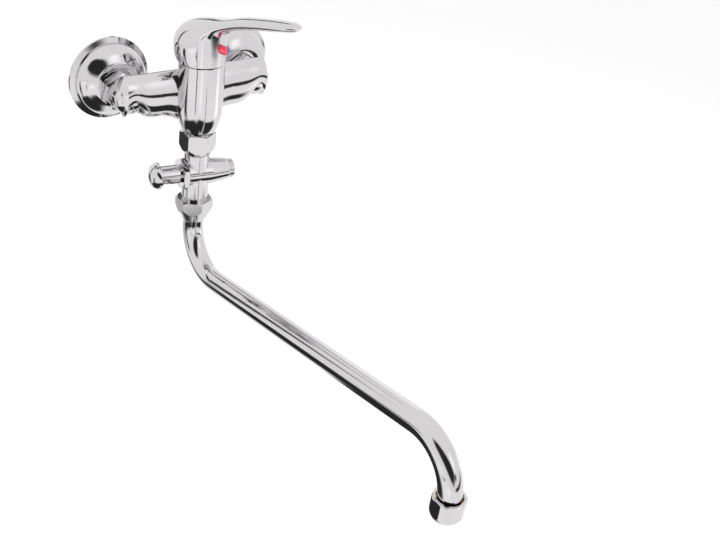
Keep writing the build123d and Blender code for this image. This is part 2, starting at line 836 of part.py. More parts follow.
with BuildPart() as split_ring:
    with BuildSketch(level(ring_top)):
        Circle(ring_r)
        Circle(ring_groove_r + thread_clearance, mode=Mode.SUBTRACT)
        with Locations((0, -ring_r)):
            Rectangle(2.4, 2 * (ring_r - ring_groove_r) + 2, mode=Mode.SUBTRACT)
    extrude(amount=-ring_thickness)
save(split_ring, "split_ring")


# Diverter: body, gland, spindle with valve disc and washer, seal and knob
turn = radians(diverter_turn)
cross_z = neck_top - cross_drop
diverter_bottom = cross_z - diverter_drop
lower_shoulder = diverter_bottom + lower_thread_length
cross_dir = Vector(cos(turn), sin(turn), 0)
cross_axis = Axis((0, axis_y, inlet_z + cross_z), cross_dir)
cross_profile = Plane(
    origin=(0, axis_y, inlet_z + cross_z), x_dir=cross_dir, z_dir=(sin(turn), -cos(turn), 0)
)
barrel_top = nut_bottom - nut_gap
gland_face = cross_face + gland_hex
gland_end = gland_face + gland_collar
gland_corner = gland_flats / 2 / cos(radians(30))


def across_flow(s):
    """Plane square to the diverter's cross axis, s towards the shower."""
    origin = Vector(0, axis_y, inlet_z + cross_z) + cross_dir * s
    return Plane(origin=origin, x_dir=(0, 0, 1), z_dir=cross_dir)


with BuildPart() as diverter_body:
    with BuildSketch(profile_plane):
        with BuildLine():
            Polyline(
                (0, neck_top),
                (neck_r, neck_top),
                (neck_r, ring_top),
                (ring_groove_r, ring_top),
                (ring_groove_r, nut_seat),
                (neck_r, nut_seat),
                (neck_r, barrel_top),
                (barrel_r - 0.8, barrel_top),
                (barrel_r, barrel_top - 0.8),
                (barrel_r, cross_z),
                (lower_neck_r, cross_z - 10),
                (lower_neck_r, lower_shoulder + 0.8),
                (lower_neck_r - 0.8, lower_shoulder),
                (union_thread_r, lower_shoulder),
                (union_thread_r, diverter_bottom + 0.6),
                (union_thread_r - 0.6, diverter_bottom),
                (0, diverter_bottom),
                close=True,
            )
        make_face()
    revolve(axis=body_axis)
    with BuildSketch(cross_profile):
        with BuildLine():
            Polyline(
                (-cross_face, 0),
                (-cross_face, cross_r - 1.2),
                (-cross_face + 1.2, cross_r),
                (shower_cone_start, cross_r),
                (shower_cone_end, shower_tip_r),
                (shower_cone_end + 0.8, shower_tip_r - 0.6),
                (shower_cone_end + 0.8, wall_thread_r),
                (shower_end - 1.0, wall_thread_r),
                (shower_end, wall_thread_r - 1.0),
                (shower_end, 0),
                close=True,
            )
        make_face()
    revolve(axis=cross_axis)
    with BuildSketch(level(neck_top)):
        Circle(7.8)
    extrude(amount=cross_z - neck_top, mode=Mode.SUBTRACT)
    with BuildSketch(level(cross_z)):
        Circle(9.4)
    extrude(amount=diverter_bottom - cross_z, mode=Mode.SUBTRACT)
    with BuildSketch(across_flow(cross_bore_end)):
        Circle(cross_bore_r)
    extrude(amount=-cross_bore_end - cross_face, mode=Mode.SUBTRACT)
    with BuildSketch(across_flow(shower_end)):
        Circle(shower_way_r)
    extrude(amount=-shower_end, mode=Mode.SUBTRACT)
    with BuildSketch(across_flow(-cross_face)):
        Circle(gland_thread_r + thread_clearance)
    extrude(amount=gland_thread_length + 0.3, mode=Mode.SUBTRACT)
    with BuildSketch(across_flow(-cross_face)):
        Circle(gland_corner + slide_gap)
    extrude(amount=-gland_hex, mode=Mode.SUBTRACT)
save(diverter_body, "diverter_body")

with BuildPart() as diverter_gland:
    with BuildSketch(across_flow(-cross_face)):
        RegularPolygon(gland_flats / 2, 6, major_radius=False)
    extrude(amount=-gland_hex)
    with BuildSketch(cross_profile):
        with BuildLine():
            Polyline(
                (-cross_face, 0),
                (-cross_face, gland_corner - 2.0),
                (-cross_face - 1.2, gland_corner),
                (-gland_face + 1.2, gland_corner),
                (-gland_face, gland_corner - 2.2),
                (-gland_face, 0),
                close=True,
            )
        make_face()
    revolve(axis=cross_axis, mode=Mode.INTERSECT)
    with BuildSketch(across_flow(-gland_face)):
        Circle(gland_collar_r)
    extrude(amount=-gland_collar)
    with BuildSketch(across_flow(-cross_face)):
        Circle(gland_thread_r)
    extrude(amount=gland_thread_length)
    with BuildSketch(across_flow(-gland_end)):
        Circle(spindle_r + running_clearance)
    extrude(amount=gland_end, mode=Mode.SUBTRACT)
    with BuildSketch(across_flow(-cross_face + gland_thread_length)):
        Circle(spindle_r + 2 * stem_seal_r + 0.5)
    extrude(amount=-4.6, mode=Mode.SUBTRACT)
save(diverter_gland, "diverter_gland")

with BuildPart() as spindle_seal:
    with BuildSketch(cross_profile):
        with Locations(
            (-cross_face + gland_thread_length - 3.2, spindle_r + slide_gap + stem_seal_r)
        ):
            Circle(stem_seal_r)
    revolve(axis=cross_axis)
save(spindle_seal, "spindle_seal")

with BuildPart() as gland_retainer:
    with BuildSketch(across_flow(-cross_face + gland_thread_length - 1.4)):
        Circle(spindle_r + 2 * stem_seal_r + 0.4)
        Circle(spindle_r + slide_gap, mode=Mode.SUBTRACT)
    extrude(amount=1.4)
save(gland_retainer, "gland_retainer")

knob_start = gland_end + knob_gap
valve_face = cross_bore_end - valve_gap
valve_back = valve_face - valve_washer
with BuildPart() as diverter_spindle:
    with BuildSketch(cross_profile):
        with BuildLine():
            Polyline(
                (-knob_rim_start, 0),
                (-knob_rim_start, spindle_r),
                (valve_back - 2.0, spindle_r),
                (valve_back - 2.0, valve_disc_r - 1.0),
                (valve_back, valve_disc_r - 1.0),
                (valve_back, 2.5),
                (valve_face + 1.6, 2.5),
                (valve_face + 1.6, 0),
                close=True,
            )
        make_face()
    revolve(axis=cross_axis)
save(diverter_spindle, "diverter_spindle")

with BuildPart() as valve_disc:
    with BuildSketch(across_flow(valve_back)):
        Circle(valve_disc_r)
        Circle(2.5 + thread_clearance, mode=Mode.SUBTRACT)
    extrude(amount=valve_washer)
save(valve_disc, "valve_washer")

with BuildPart() as diverter_knob:
    with BuildSketch(cross_profile):
        with BuildLine():
            Polyline(
                (-knob_start, 0),
                (-knob_start, knob_sleeve_r - 0.5),
                (-knob_start - 0.5, knob_sleeve_r),
                (-knob_rim_start + 0.6, knob_sleeve_r),
                (-knob_rim_start, knob_sleeve_r + 0.6),
                (-knob_rim_start, knob_rim_r - 0.5),
                (-knob_rim_start - 0.5, knob_rim_r),
                (-knob_rim_start - knob_rim, knob_rim_r),
            )
            knob_dome = EllipticalCenterArc(
                center=(-knob_rim_start - knob_rim, 0),
                x_radius=knob_end - knob_rim_start - knob_rim,
                y_radius=knob_rim_r,
                start_angle=90,
                arc_size=87,
            )
            Polyline(knob_dome @ 1, ((knob_dome @ 1).X, 0), (-knob_start, 0))
        make_face()
    revolve(axis=cross_axis)
    with BuildSketch(across_flow(-knob_start)):
        Circle(spindle_r + thread_clearance)
    extrude(amount=knob_start - knob_rim_start, mode=Mode.SUBTRACT)
save(diverter_knob, "diverter_knob")


# Spout union: nut, seal and collar, then the swept tube
spout_nut_top = lower_shoulder - spout_nut_setback
tube_top = diverter_bottom - spout_seal - running_clearance
first_bend_z = tube_top - tube_drop
collar_bottom = tube_top - spout_collar
spout_nut_seat = collar_bottom - slide_gap
spout_blank = hex_nut(
    spout_nut_flats, spout_nut_top, spout_nut_hex, spout_nut_length, spout_nut_tip_r,
    spout_nut_turn,
)
with BuildPart() as spout_nut:
    add(spout_blank)
    with BuildSketch(level(spout_nut_top)):
        Circle(tube_r + slide_gap)
    extrude(amount=-spout_nut_length, mode=Mode.SUBTRACT)
    with BuildSketch(level(spout_nut_top)):
        Circle(nut_thread_r)
    extrude(amount=spout_nut_seat - spout_nut_top, mode=Mode.SUBTRACT)
save(spout_nut, "spout_nut")

with BuildPart() as spout_seal_ring:
    with BuildSketch(level(diverter_bottom)):
        Circle(union_thread_r - 0.4)
        Circle(9.6, mode=Mode.SUBTRACT)
    extrude(amount=-spout_seal)
save(spout_seal_ring, "spout_seal")

with BuildPart() as spout_collar_ring:
    with BuildSketch(level(tube_top)):
        Circle(ring_r)
        Circle(tube_r + seat_clearance, mode=Mode.SUBTRACT)
    extrude(amount=-spout_collar)
save(spout_collar_ring, "spout_collar")

spout_plane = Plane(origin=(0, axis_y, inlet_z), x_dir=(0, -1, 0), z_dir=(-1, 0, 0))
with BuildPart() as spout_tube:
    with BuildLine(spout_plane) as spout_path:
        drop = Line((0, tube_top), (0, first_bend_z))
        first_bend = JernArc(drop @ 1, drop % 1, first_bend_r, bend_angle)
        run = Line(first_bend @ 1, first_bend @ 1 + (first_bend % 1) * run_length)
        second_bend = JernArc(run @ 1, run % 1, second_bend_r, -bend_angle)
        Line(second_bend @ 1, second_bend @ 1 + (second_bend % 1) * spout_tail)
    with BuildSketch(level(tube_top)):
        Circle(tube_r)
        Circle(tube_r - tube_wall, mode=Mode.SUBTRACT)
    sweep()
save(spout_tube, "spout_tube")


# Spout end: threaded ferrule, aerator nut, gasket, insert and mesh
bend = radians(bend_angle)
spout_reach = (first_bend_r + second_bend_r) * (1 - cos(bend)) + run_length * sin(bend)
tube_end = (
    first_bend_z
    - (first_bend_r + second_bend_r) * sin(bend)
    - run_length * cos(bend)
    - spout_tail
)
mouth_y = axis_y - spout_reach
mouth_axis = Axis((0, mouth_y, 0), (0, 0, 1))
mouth_profile = Plane(origin=(0, mouth_y, inlet_z), x_dir=(1, 0, 0), z_dir=(0, -1, 0))


def mouth_level(z):
    """Horizontal plane at height z, centred on the spout's end."""
    return Plane(origin=(0, mouth_y, inlet_z + z))


with BuildPart() as spout_ferrule:
    with BuildSketch(mouth_level(tube_end)):
        Circle(ferrule_r)
        Circle(tube_r + seat_clearance, mode=Mode.SUBTRACT)
    extrude(amount=ferrule_length)
    chamfer(spout_ferrule.edges().group_by(Axis.Z)[-1].sort_by(SortBy.RADIUS)[-1], 0.5)
save(spout_ferrule, "spout_ferrule")

aerator_top = tube_end + aerator_overlap
aerator_bottom = aerator_top - aerator_length
aerator_shoulder = aerator_bottom + aerator_curve
gasket_bottom = tube_end - aerator_gasket
mesh_bottom = aerator_bottom + aerator_lip
insert_bottom = mesh_bottom + aerator_mesh
with BuildPart() as aerator_nut:
    with BuildSketch(mouth_level(aerator_top)):
        RegularPolygon(aerator_flats / 2, 6, major_radius=False, rotation=30)
    extrude(amount=aerator_bottom - aerator_top)
    with BuildSketch(mouth_profile):
        with BuildLine():
            Polyline(
                (0, aerator_bottom),
                (0, aerator_top),
                (aerator_r - 1.2, aerator_top),
                (aerator_r, aerator_top - 1.0),
                (aerator_r, aerator_shoulder),
            )
            TangentArc(
                (aerator_r, aerator_shoulder),
                (aerator_tip_r + 0.6, aerator_bottom + 0.4),
                tangent=(0, -1),
            )
            Polyline(
                (aerator_tip_r + 0.6, aerator_bottom + 0.4),
                (aerator_tip_r, aerator_bottom),
                (0, aerator_bottom),
            )
        make_face()
    revolve(axis=mouth_axis, mode=Mode.INTERSECT)
    with BuildSketch(mouth_level(aerator_top)):
        Circle(aerator_mouth_r)
    extrude(amount=aerator_bottom - aerator_top, mode=Mode.SUBTRACT)
    with BuildSketch(mouth_level(aerator_top)):
        Circle(ferrule_r + thread_clearance)
    extrude(amount=gasket_bottom - aerator_top, mode=Mode.SUBTRACT)
    with BuildSketch(mouth_level(gasket_bottom)):
        Circle(aerator_mouth_r + 1.4)
    extrude(amount=mesh_bottom - gasket_bottom, mode=Mode.SUBTRACT)
save(aerator_nut, "aerator_nut")

with BuildPart() as aerator_ring:
    with BuildSketch(mouth_level(tube_end)):
        Circle(ferrule_r - 0.2)
        Circle(aerator_mouth_r - 0.6, mode=Mode.SUBTRACT)
    extrude(amount=-aerator_gasket)
save(aerator_ring, "aerator_gasket")

with BuildPart() as aerator_insert:
    with BuildSketch(mouth_level(gasket_bottom)):
        Circle(aerator_mouth_r + 1.2)
        Circle(1.1, mode=Mode.SUBTRACT)
        with PolarLocations(3.6, 6):
            Circle(1.1, mode=Mode.SUBTRACT)
        with PolarLocations(7.0, 12):
            Circle(1.1, mode=Mode.SUBTRACT)
    extrude(amount=insert_bottom - gasket_bottom)
save(aerator_insert, "aerator_insert")

with BuildPart() as aerator_screen:
    with BuildSketch(mouth_level(insert_bottom)):
        Circle(aerator_mouth_r + 1.2)
    extrude(amount=-aerator_mesh)
save(aerator_screen, "aerator_mesh")
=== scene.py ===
"""Wall mixer tap: materials, threads, mesh, studio and camera around the CAD frame.

Metres. The wall is the plane y = 0 and the tap stands out along -Y. Azimuth 0 is -Y
and azimuth 90 is +X.
"""
import json
import math

import bmesh
import bpy
from mathutils import Matrix, Vector

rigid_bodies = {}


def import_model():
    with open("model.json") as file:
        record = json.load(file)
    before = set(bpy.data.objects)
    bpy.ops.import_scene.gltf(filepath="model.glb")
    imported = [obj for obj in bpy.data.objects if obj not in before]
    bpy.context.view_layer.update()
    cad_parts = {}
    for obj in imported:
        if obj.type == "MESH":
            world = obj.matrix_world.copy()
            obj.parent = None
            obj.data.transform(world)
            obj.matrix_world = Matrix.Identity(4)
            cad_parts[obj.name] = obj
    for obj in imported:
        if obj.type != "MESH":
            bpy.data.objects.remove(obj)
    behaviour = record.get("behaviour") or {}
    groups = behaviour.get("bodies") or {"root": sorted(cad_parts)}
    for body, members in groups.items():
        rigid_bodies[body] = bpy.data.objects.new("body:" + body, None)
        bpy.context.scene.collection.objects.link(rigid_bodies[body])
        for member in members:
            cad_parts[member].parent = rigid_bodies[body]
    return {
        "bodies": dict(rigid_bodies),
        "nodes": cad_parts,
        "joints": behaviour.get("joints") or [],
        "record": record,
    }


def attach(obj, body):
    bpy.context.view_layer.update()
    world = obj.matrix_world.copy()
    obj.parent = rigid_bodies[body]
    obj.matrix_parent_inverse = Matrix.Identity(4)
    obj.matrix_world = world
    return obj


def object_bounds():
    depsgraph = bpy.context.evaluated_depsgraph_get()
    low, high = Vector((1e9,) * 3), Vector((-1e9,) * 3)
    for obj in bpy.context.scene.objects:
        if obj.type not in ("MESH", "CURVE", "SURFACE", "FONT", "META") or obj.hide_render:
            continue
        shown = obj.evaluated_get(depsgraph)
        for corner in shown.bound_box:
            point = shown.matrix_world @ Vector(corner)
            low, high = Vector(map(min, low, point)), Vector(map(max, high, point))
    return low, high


# Photograph's view, as worked out from the tap's own proportions
CAMERA_PLACE = (-0.5687, -0.9762, 0.4454)
CAMERA_RIGHT = (0.7846, -0.6065, 0.1282)
CAMERA_UP = (0.2318, 0.4788, 0.8468)
CAMERA_BACK = (-0.5750, -0.6347, 0.5163)
CAMERA_LENS_MM = 54.47
CAMERA_SENSOR_MM = 36.0

# Places that the added pieces take from the CAD part
AXIS_Y = -0.060
INLET_Z = -0.0084
HALF_SPACING = 0.075
CROSS_Z = INLET_Z - 0.093
CROSS_TURN = math.radians(-9.0)

# G1/2 thread: one ridge with a flat crest, which fades in and out at its ends
THREAD_R = 0.01048
THREAD_PITCH = 0.001814
THREAD_HEIGHT = 0.00022
THREAD_ROOT = 0.0001
THREAD_BASE_HALF = 0.36 * THREAD_PITCH
THREAD_CREST_HALF = 0.25 * THREAD_BASE_HALF
THREAD_STEPS = 40
THREAD_FADE_STEPS = 8
THREAD_LEAST_HEIGHT = 0.04
WALL_THREAD_SPAN = (0.0005, 0.0138)
SHOWER_THREAD_SPAN = (0.0362, 0.0412)

# Aerator's mesh
AERATOR_CENTRE = (0, -0.50986, -0.23315)
AERATOR_REACH = 0.0088
WIRE_SPACING = 0.0008
WIRE_HALF = 0.00014

# Noise in the materials
NOISE_ROUGHNESS = 0.55
METAL_CLOUD_SCALE = 38.0
METAL_LINE_SCALE = 900.0
METAL_RIPPLE_SCALE = 60.0
METAL_BUMP = (0.5, 0.0004)
PLASTIC_CLOUD_SCALE = 120.0
PLASTIC_BUMP_DEPTH = 0.0002
COAT_ROUGHNESS = 0.06

# Metals: bright and dull colour, roughness, its spread, waviness, grain, stretch of grain
CHROME_BRIGHT = (0.675, 0.662, 0.672)
CHROME_DULL = (0.64, 0.627, 0.638)
EVEN = (1, 1, 1)
METALS = {
    "chrome": (CHROME_BRIGHT, CHROME_DULL, 0.045, 0.035, 0.25, 0.02, EVEN),
    "rosette_chrome": (CHROME_BRIGHT, CHROME_DULL, 0.05, 0.05, 0.4, 0.03, EVEN),
    "tube_chrome": (CHROME_BRIGHT, CHROME_DULL, 0.05, 0.04, 0.2, 0.04, (6, 0.25, 6)),
    "brass": ((0.78, 0.60, 0.30), (0.60, 0.43, 0.18), 0.22, 0.12, 0.3, 0.3, (8, 8, 0.3)),
    "steel": ((0.62, 0.63, 0.64), (0.47, 0.48, 0.50), 0.2, 0.12, 0.2, 0.3, (8, 8, 0.3)),
    "mesh_steel": ((0.55, 0.56, 0.57), (0.38, 0.39, 0.40), 0.3, 0.15, 0.2, 0.3, EVEN),
}

# Others: light and dark colour, roughness, its spread, grain's scale, grain, coat
PLASTICS = {
    "rubber": ((0.035, 0.035, 0.036), (0.02, 0.02, 0.02), 0.6, 0.2, 1500, 0.3, 0),
    "fibre": ((0.42, 0.10, 0.07), (0.30, 0.06, 0.04), 0.7, 0.2, 2200, 0.5, 0),
    "white_plastic": ((0.84, 0.84, 0.81), (0.77, 0.77, 0.74), 0.35, 0.15, 1800, 0.15, 0),
    "grey_plastic": ((0.27, 0.28, 0.30), (0.21, 0.22, 0.24), 0.4, 0.15, 1800, 0.2, 0),
    "ceramic": ((0.87, 0.87, 0.85), (0.82, 0.82, 0.80), 0.15, 0.1, 3000, 0.05, 0),
    "index_red": ((0.72, 0.06, 0.08), (0.62, 0.05, 0.07), 0.15, 0.1, 900, 0.05, 0.6),
    "index_blue": ((0.03, 0.08, 0.5), (0.02, 0.06, 0.4), 0.15, 0.1, 900, 0.05, 0.6),
}

# Floor and room
FLOOR_GAP = 0.16
FLOOR_SIZE = 14.0
FLOOR_GREY = 0.9
FLOOR_FADE = (1.0, 4.0)
FLOOR_GLOW = (0.8, 1.0)
ROOM_AMBIENT = 0.55
ROOM_WHITE = 1.0

# Lamps: name, azimuth, elevation, distance, size, power
LAMPS = (
    ("key", -80, 50, 1.6, (1.0, 1.0), 26),
    ("fill", 40, 35, 1.8, (0.9, 1.2), 14),
    ("back", 150, 55, 1.8, (1.2, 0.8), 16),
)

# Where the boards are measured from, how far off they stand and how square they are
MIDDLE = (0, AXIS_Y, INLET_Z)
WALL_DISTANCE = 2.2
BOARD_LIFT = 0.003
BOARD_POWER = 3.0

# Boards that the chrome mirrors: name, azimuth, elevation, size, roll, grey, softness
WALL_BOARDS = (
    ("camera_side", -30, 24, (4.6, 1.9), 30, 0.03, 0.4),
    ("window_right", 20, 24, (1.3, 1.7), 10, 1.4, 0.9),
    ("low_front", 12, 3, (0.9, 0.55), 0, 0.05, 0.9),
    ("strip_left", -141, 8, (0.42, 2.2), 0, 0.05, 0.6),
    ("strip_right", 152, 20, (0.35, 1.6), -20, 0.10, 0.7),
    ("window_back", 128, 10, (0.7, 1.2), 0, 1.3, 0.8),
)

# Boards on the floor: name, azimuth, reach, size across and outwards, grey, softness
FLOOR_BOARDS = (
    ("far_front", 32, 1.64, (2.0, 1.15), 0.03, 0.3),
    ("far_left", -68, 1.6, (1.5, 1.2), 1.3, 0.9),
    ("bright_right", 60, 0.85, (0.4, 0.85), 1.6, 0.9),
    ("bright_front", -27, 1.0, (0.34, 0.7), 1.3, 0.9),
    ("dark_line", -50, 1.05, (0.12, 1.1), 0.05, 0.9),
    ("left_line", -101, 1.1, (0.3, 1.8), 0.05, 0.6),
    ("behind_left", -147, 1.0, (0.35, 1.7), 0.05, 0.5),
    ("under_left", -84, 0.24, (0.62, 0.46), 0.03, 0.35),
    ("under_front", 12, 0.28, (0.80, 0.30), 0.03, 0.35),
)


# Nodes

def empty_tree(owner, output_kind):
    """Clears the node tree of a material or world; returns it and its output's socket."""
    owner.use_nodes = True
    tree = owner.node_tree
    tree.nodes.clear()
    output = tree.nodes.new(output_kind)
    return tree, output.inputs["Surface"]


def coords(tree, stretch=EVEN):
    """Object coordinates, scaled."""
    place = tree.nodes.new("ShaderNodeTexCoord")
    mapping = tree.nodes.new("ShaderNodeMapping")
    mapping.inputs["Scale"].default_value = stretch
    tree.links.new(place.outputs["Object"], mapping.inputs["Vector"])
    return mapping.outputs["Vector"]


def noise(tree, vector, scale, detail):
    node = tree.nodes.new("ShaderNodeTexNoise")
    node.inputs["Scale"].default_value = scale
    node.inputs["Detail"].default_value = detail
    node.inputs["Roughness"].default_value = NOISE_ROUGHNESS
    tree.links.new(vector, node.inputs["Vector"])
    return node.outputs["Fac"]


def remap(tree, value, low, high, to_low, to_high):
    node = tree.nodes.new("ShaderNodeMapRange")
    node.inputs["From Min"].default_value = low
    node.inputs["From Max"].default_value = high
    node.inputs["To Min"].default_value = to_low
    node.inputs["To Max"].default_value = to_high
    tree.links.new(value, node.inputs["Value"])
    return node.outputs["Result"]


def math_node(tree, operation, first, second):
    """Result of one operation, held between 0 and 1."""
    node = tree.nodes.new("ShaderNodeMath")
    node.operation = operation
    node.use_clamp = True
    for socket, value in zip(node.inputs, (first, second)):
        if isinstance(value, (int, float)):
            socket.default_value = value
        else:
            tree.links.new(value, socket)
    return node.outputs["Value"]


def clouded_colour(tree, clouds, first, second):
    node = tree.nodes.new("ShaderNodeMix")
    node.data_type = "RGBA"
    node.inputs[6].default_value = (*first, 1)
    node.inputs[7].default_value = (*second, 1)
    tree.links.new(remap(tree, clouds, 0.3, 0.7, 0, 1), node.inputs[0])
    return node.outputs[2]


def add_bump(tree, shader, height, strength, distance):
    node = tree.nodes.new("ShaderNodeBump")
    node.inputs["Strength"].default_value = strength
    node.inputs["Distance"].default_value = distance
    tree.links.new(height, node.inputs["Height"])
    tree.links.new(node.outputs["Normal"], shader.inputs["Normal"])


def white_light(tree, kind, strength):
    """White emission or background of one strength."""
    node = tree.nodes.new(kind)
    node.inputs["Color"].default_value = (1, 1, 1, 1)
    node.inputs["Strength"].default_value = strength
    return node.outputs[0]


def mix_to(tree, surface, factor, first, second):
    """Mixes two shaders into the output's socket."""
    mix = tree.nodes.new("ShaderNodeMixShader")
    tree.links.new(factor, mix.inputs["Fac"])
    tree.links.new(first, mix.inputs[1])
    tree.links.new(second, mix.inputs[2])
    tree.links.new(mix.outputs["Shader"], surface)


# Materials

def new_material(name):
    """Node material with only a Principled shader; returns material, tree and shader."""
    material = bpy.data.materials.new(name)
    tree, surface = empty_tree(material, "ShaderNodeOutputMaterial")
    shader = tree.nodes.new("ShaderNodeBsdfPrincipled")
    tree.links.new(shader.outputs["BSDF"], surface)
    return material, tree, shader


def metal(name, bright, dull, rough, spread, wave, grain, stretch):
    """Metal with clouded colour, uneven polish, fine grain and slight waviness."""
    material, tree, shader = new_material(name)
    shader.inputs["Metallic"].default_value = 1.0
    plain = coords(tree)
    clouds = noise(tree, plain, METAL_CLOUD_SCALE, 4.0)
    lines = noise(tree, coords(tree, stretch), METAL_LINE_SCALE, 2.0)
    ripple = noise(tree, plain, METAL_RIPPLE_SCALE, 1.0)
    colour = clouded_colour(tree, clouds, bright, dull)
    tree.links.new(colour, shader.inputs["Base Color"])
    spots = remap(tree, clouds, 0.35, 0.75, rough, rough + spread)
    streaks = remap(tree, lines, 0.35, 0.7, 0.0, spread * 0.5)
    tree.links.new(math_node(tree, "ADD", spots, streaks), shader.inputs["Roughness"])
    waves = math_node(tree, "MULTIPLY", ripple, wave)
    fine = math_node(tree, "MULTIPLY", lines, grain)
    add_bump(tree, shader, math_node(tree, "ADD", waves, fine), *METAL_BUMP)
    return material


def plastic(name, light, dark, rough, spread, grain_scale, grain, coat):
    """Moulded plastic, rubber, fibre or ceramic with a fine grain."""
    material, tree, shader = new_material(name)
    plain = coords(tree)
    clouds = noise(tree, plain, PLASTIC_CLOUD_SCALE, 4.0)
    fine = noise(tree, plain, grain_scale, 2.0)
    colour = clouded_colour(tree, clouds, light, dark)
    tree.links.new(colour, shader.inputs["Base Color"])
    roughness = remap(tree, fine, 0.3, 0.7, rough, rough + spread)
    tree.links.new(roughness, shader.inputs["Roughness"])
    shader.inputs["Coat Weight"].default_value = coat
    shader.inputs["Coat Roughness"].default_value = COAT_ROUGHNESS
    add_bump(tree, shader, fine, grain, PLASTIC_BUMP_DEPTH)
    return material


MATERIALS = {name: metal(name, *row) for name, row in METALS.items()}
MATERIALS.update({name: plastic(name, *row) for name, row in PLASTICS.items()})


def dress_frame(frame):
    """Every CAD node takes the material of its slot in the record."""
    slots = {row["node"]: row["material_slot"] for row in frame["record"]["subparts"]}
    for name, node in frame["nodes"].items():
        for slot in node.material_slots:
            slot.material = MATERIALS[slots[name]]


# Added pieces

def add_object(name, mesh, material):
    mesh.materials.append(material)
    piece = bpy.data.objects.new(name, mesh)
    bpy.context.scene.collection.objects.link(piece)
    return piece


def mesh_piece(name, build, material, body):
    """Makes a mesh object with build(bm), which rides on a body."""
    bm = bmesh.new()
    build(bm)
    bmesh.ops.recalc_face_normals(bm, faces=bm.faces)
    mesh = bpy.data.meshes.new(name)
    bm.to_mesh(mesh)
    bm.free()
    for face in mesh.polygons:
        face.use_smooth = True
    piece = add_object(name, mesh, MATERIALS[material])
    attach(piece, body)


def sweep_section(bm, frames, section):
    """Joins copies of a closed section placed by each frame into a capped bar."""
    rings = []
    for frame in frames:
        rings.append([bm.verts.new(frame @ Vector(point)) for point in section])
    count = len(section)
    for first, second in zip(rings, rings[1:]):
        for i in range(count):
            j = (i + 1) % count
            bm.faces.new((first[i], first[j], second[j], second[i]))
    bm.faces.new(rings[0])
    bm.faces.new(list(reversed(rings[-1])))


def thread_builder(origin, direction, radius, span):
    """Returns a builder for one helical thread ridge round an axis."""
    along = Vector(direction).normalized()
    side = along.cross(Vector((0, 0, 1))).normalized()
    up = side.cross(along)
    start, end = span
    steps = int((end - start) / THREAD_PITCH * THREAD_STEPS)
    section = (
        (-THREAD_ROOT, -THREAD_BASE_HALF, 0),
        (THREAD_HEIGHT, -THREAD_CREST_HALF, 0),
        (THREAD_HEIGHT, THREAD_CREST_HALF, 0),
        (-THREAD_ROOT, THREAD_BASE_HALF, 0),
    )

    def build(bm):
        frames = []
        for step in range(steps + 1):
            angle = 2 * math.pi * step / THREAD_STEPS
            fade = min(1.0, step / THREAD_FADE_STEPS, (steps - step) / THREAD_FADE_STEPS)
            height = max(fade, THREAD_LEAST_HEIGHT)
            place = start + (end - start) * step / steps
            radial = side * math.cos(angle) + up * math.sin(angle)
            centre = Vector(origin) + along * place + radial * radius
            axes = Matrix((radial * height, along, (0, 0, 0))).transposed().to_4x4()
            frames.append(Matrix.Translation(centre) @ axes)
        sweep_section(bm, frames, section)

    return build


def add_threads():
    for side, name in ((-1, "left"), (1, "right")):
        origin = (side * HALF_SPACING, 0, 0)
        mesh_piece(
            f"{name}_wall_thread",
            thread_builder(origin, (0, 1, 0), THREAD_R, WALL_THREAD_SPAN),
            "chrome", "tap",
        )
    direction = (math.cos(CROSS_TURN), math.sin(CROSS_TURN), 0)
    mesh_piece(
        "shower_thread",
        thread_builder((0, AXIS_Y, CROSS_Z), direction, THREAD_R, SHOWER_THREAD_SPAN),
        "chrome", "tap",
    )


def build_wires(bm):
    """Two crossed rows of square wires, cut off at the aerator's rim."""
    half = WIRE_HALF
    section = ((0, -half, -half), (0, half, -half), (0, half, half), (0, -half, half))
    rows = int(AERATOR_REACH / WIRE_SPACING)
    for layer in (0, 1):
        turn = Matrix.Rotation(layer * math.pi / 2, 4, "Z")
        for row in range(-rows, rows + 1):
            offset = row * WIRE_SPACING
            length = math.sqrt(AERATOR_REACH ** 2 - offset ** 2)
            frames = []
            for end in (-length, length):
                step = Matrix.Translation((end, offset, -layer * half))
                frames.append(Matrix.Translation(AERATOR_CENTRE) @ turn @ step)
            sweep_section(bm, frames, section)


def add_wires():
    mesh_piece("aerator_wires", build_wires, "steel", "spout")


# Studio

def around(azimuth, elevation, distance, centre):
    """Point at an azimuth, elevation and distance from the centre."""
    a, e = math.radians(azimuth), math.radians(elevation)
    step = Vector((math.sin(a) * math.cos(e), -math.cos(a) * math.cos(e), math.sin(e)))
    return Vector(centre) + step * distance


def flat_square(name, half, material):
    mesh = bpy.data.meshes.new(name)
    corners = [(-half, -half, 0), (half, -half, 0), (half, half, 0), (-half, half, 0)]
    mesh.from_pydata(corners, [], [(0, 1, 2, 3)])
    piece = add_object(name, mesh, material)
    return piece


def soft_grey(name, grey, soft):
    """Emission that fades to nothing towards the edges of a board from -1 to 1."""
    material = bpy.data.materials.new(name)
    tree, surface = empty_tree(material, "ShaderNodeOutputMaterial")
    place = tree.nodes.new("ShaderNodeTexCoord")
    split = tree.nodes.new("ShaderNodeSeparateXYZ")
    tree.links.new(place.outputs["Object"], split.inputs["Vector"])
    powers = []
    for axis in ("X", "Y"):
        size = math_node(tree, "ABSOLUTE", split.outputs[axis], 0.0)
        powers.append(math_node(tree, "POWER", size, BOARD_POWER))
    edge = math_node(tree, "POWER", math_node(tree, "ADD", *powers), 1 / BOARD_POWER)
    fade = remap(tree, edge, 1.0 - soft, 1.0, 1.0, 0.0)
    fade.node.interpolation_type = "SMOOTHSTEP"
    clear = tree.nodes.new("ShaderNodeBsdfTransparent")
    glow = white_light(tree, "ShaderNodeEmission", grey)
    mix_to(tree, surface, fade, clear.outputs["BSDF"], glow)
    return material


